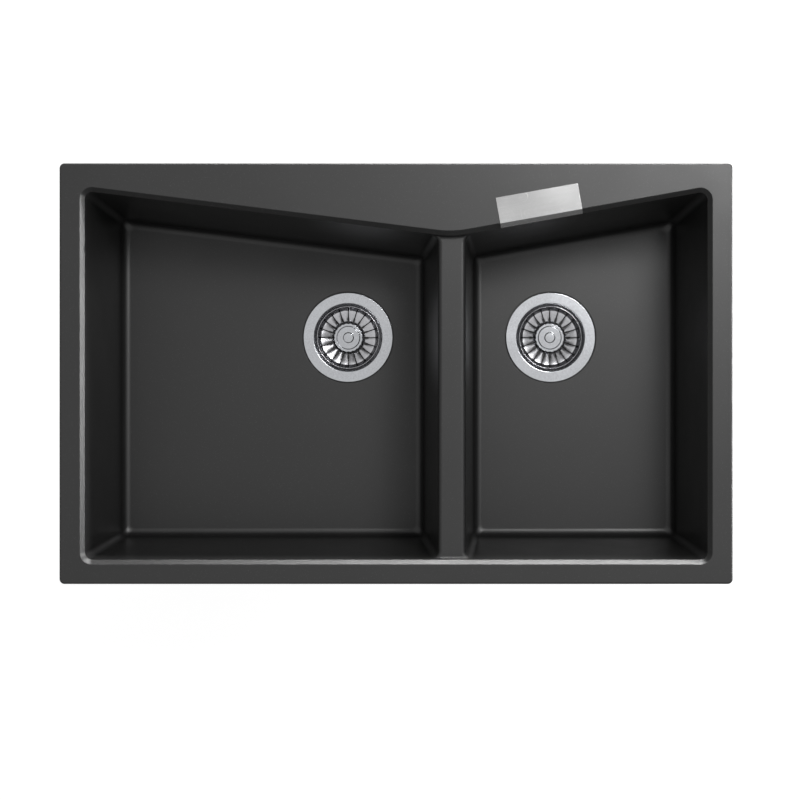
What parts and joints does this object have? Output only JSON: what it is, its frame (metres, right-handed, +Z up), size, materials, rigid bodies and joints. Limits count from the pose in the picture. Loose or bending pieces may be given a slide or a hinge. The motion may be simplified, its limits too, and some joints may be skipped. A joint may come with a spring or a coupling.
{
  "type": "double bowl kitchen sink",
  "caption": "Inset double bowl composite kitchen sink with a V-shaped tap deck, lowered divider, lift-out basket strainer wastes, rim clips and a blank badge plate.",
  "frame": {"origin": "centre of the rim rectangle on the rim's underside, which lies on the worktop's top face", "axes": "+X along the sink towards the smaller bowl, +Y towards the tap deck at the back, +Z up"},
  "size_m": [0.8, 0.5, 0.2961],
  "materials": {
    "composite": "satin",
    "rubber": "matte",
    "badge_steel": "satin",
    "flange_steel": "satin",
    "basket_steel": "polished",
    "cap_steel": "satin",
    "bolt_steel": "satin",
    "zinc_steel": "satin",
    "brass": "satin",
    "black_plastic": "matte"
  },
  "bodies": {
    "root": {"sink_body": "composite", "rim_seal": "rubber", "badge_plate": "badge_steel", "left_flange_cup": "flange_steel", "left_flange_gasket": "rubber", "left_lower_seal": "rubber", "left_waste_body": "black_plastic", "left_centre_bolt": "bolt_steel", "left_bolt_nut": "brass", "right_flange_cup": "flange_steel", "right_flange_gasket": "rubber", "right_lower_seal": "rubber", "right_waste_body": "black_plastic", "right_centre_bolt": "bolt_steel", "right_bolt_nut": "brass", "front_clip_1_insert": "brass", "front_clip_2_insert": "brass", "front_clip_3_insert": "brass", "back_clip_1_insert": "brass", "back_clip_2_insert": "brass", "back_clip_3_insert": "brass", "left_clip_insert": "brass", "right_clip_insert": "brass"},
    "left_strainer": {"left_basket": "basket_steel", "left_basket_cap": "cap_steel"},
    "left_stopper": {"left_stopper_stem": "black_plastic", "left_stopper_seal": "rubber"},
    "right_strainer": {"right_basket": "basket_steel", "right_basket_cap": "cap_steel"},
    "right_stopper": {"right_stopper_stem": "black_plastic", "right_stopper_seal": "rubber"},
    "front_clip_1_screw": {"front_clip_1_screw": "zinc_steel"},
    "front_clip_1_arm": {"front_clip_1_arm": "zinc_steel"},
    "front_clip_2_screw": {"front_clip_2_screw": "zinc_steel"},
    "front_clip_2_arm": {"front_clip_2_arm": "zinc_steel"},
    "front_clip_3_screw": {"front_clip_3_screw": "zinc_steel"},
    "front_clip_3_arm": {"front_clip_3_arm": "zinc_steel"},
    "back_clip_1_screw": {"back_clip_1_screw": "zinc_steel"},
    "back_clip_1_arm": {"back_clip_1_arm": "zinc_steel"},
    "back_clip_2_screw": {"back_clip_2_screw": "zinc_steel"},
    "back_clip_2_arm": {"back_clip_2_arm": "zinc_steel"},
    "back_clip_3_screw": {"back_clip_3_screw": "zinc_steel"},
    "back_clip_3_arm": {"back_clip_3_arm": "zinc_steel"},
    "left_clip_screw": {"left_clip_screw": "zinc_steel"},
    "left_clip_arm": {"left_clip_arm": "zinc_steel"},
    "right_clip_screw": {"right_clip_screw": "zinc_steel"},
    "right_clip_arm": {"right_clip_arm": "zinc_steel"}
  },
  "joints": [
    {"name": "left_stopper_lift", "type": "slide", "parent": "root", "child": "left_stopper", "axis": [0, 0, 1], "range_m": [0, 0.25]},
    {"name": "left_strainer_turn", "type": "hinge", "parent": "left_stopper", "child": "left_strainer", "pos_m": [-0.0617, 0.0487, -0.214], "axis": [0, 0, 1], "continuous": true},
    {"name": "right_stopper_lift", "type": "slide", "parent": "root", "child": "right_stopper", "axis": [0, 0, 1], "range_m": [0, 0.25]},
    {"name": "right_strainer_turn", "type": "hinge", "parent": "right_stopper", "child": "right_strainer", "pos_m": [0.1969, 0.0487, -0.214], "axis": [0, 0, 1], "continuous": true},
    {"name": "front_clip_1_tighten", "type": "slide", "parent": "root", "child": "front_clip_1_screw", "axis": [0, 0, 1], "range_m": [0, 0.014]},
    {"name": "front_clip_1_swing", "type": "hinge", "parent": "front_clip_1_screw", "child": "front_clip_1_arm", "pos_m": [-0.27, -0.234, -0.049], "axis": [0, 0, -1], "range_deg": [0, 90]},
    {"name": "front_clip_2_tighten", "type": "slide", "parent": "root", "child": "front_clip_2_screw", "axis": [0, 0, 1], "range_m": [0, 0.014]},
    {"name": "front_clip_2_swing", "type": "hinge", "parent": "front_clip_2_screw", "child": "front_clip_2_arm", "pos_m": [0, -0.234, -0.049], "axis": [0, 0, -1], "range_deg": [0, 90]},
    {"name": "front_clip_3_tighten", "type": "slide", "parent": "root", "child": "front_clip_3_screw", "axis": [0, 0, 1], "range_m": [0, 0.014]},
    {"name": "front_clip_3_swing", "type": "hinge", "parent": "front_clip_3_screw", "child": "front_clip_3_arm", "pos_m": [0.27, -0.234, -0.049], "axis": [0, 0, -1], "range_deg": [0, 90]},
    {"name": "back_clip_1_tighten", "type": "slide", "parent": "root", "child": "back_clip_1_screw", "axis": [0, 0, 1], "range_m": [0, 0.014]},
    {"name": "back_clip_1_swing", "type": "hinge", "parent": "back_clip_1_screw", "child": "back_clip_1_arm", "pos_m": [-0.3, 0.234, -0.049], "axis": [0, 0, -1], "range_deg": [0, 90]},
    {"name": "back_clip_2_tighten", "type": "slide", "parent": "root", "child": "back_clip_2_screw", "axis": [0, 0, 1], "range_m": [0, 0.014]},
    {"name": "back_clip_2_swing", "type": "hinge", "parent": "back_clip_2_screw", "child": "back_clip_2_arm", "pos_m": [-0.11, 0.234, -0.049], "axis": [0, 0, -1], "range_deg": [0, 90]},
    {"name": "back_clip_3_tighten", "type": "slide", "parent": "root", "child": "back_clip_3_screw", "axis": [0, 0, 1], "range_m": [0, 0.014]},
    {"name": "back_clip_3_swing", "type": "hinge", "parent": "back_clip_3_screw", "child": "back_clip_3_arm", "pos_m": [0.29, 0.234, -0.049], "axis": [0, 0, -1], "range_deg": [0, 90]},
    {"name": "left_clip_tighten", "type": "slide", "parent": "root", "child": "left_clip_screw", "axis": [0, 0, 1], "range_m": [0, 0.014]},
    {"name": "left_clip_swing", "type": "hinge", "parent": "left_clip_screw", "child": "left_clip_arm", "pos_m": [-0.384, 0, -0.049], "axis": [0, 0, -1], "range_deg": [0, 90]},
    {"name": "right_clip_tighten", "type": "slide", "parent": "root", "child": "right_clip_screw", "axis": [0, 0, 1], "range_m": [0, 0.014]},
    {"name": "right_clip_swing", "type": "hinge", "parent": "right_clip_screw", "child": "right_clip_arm", "pos_m": [0.384, 0, -0.049], "axis": [0, 0, -1], "range_deg": [0, 90]}
  ]
}
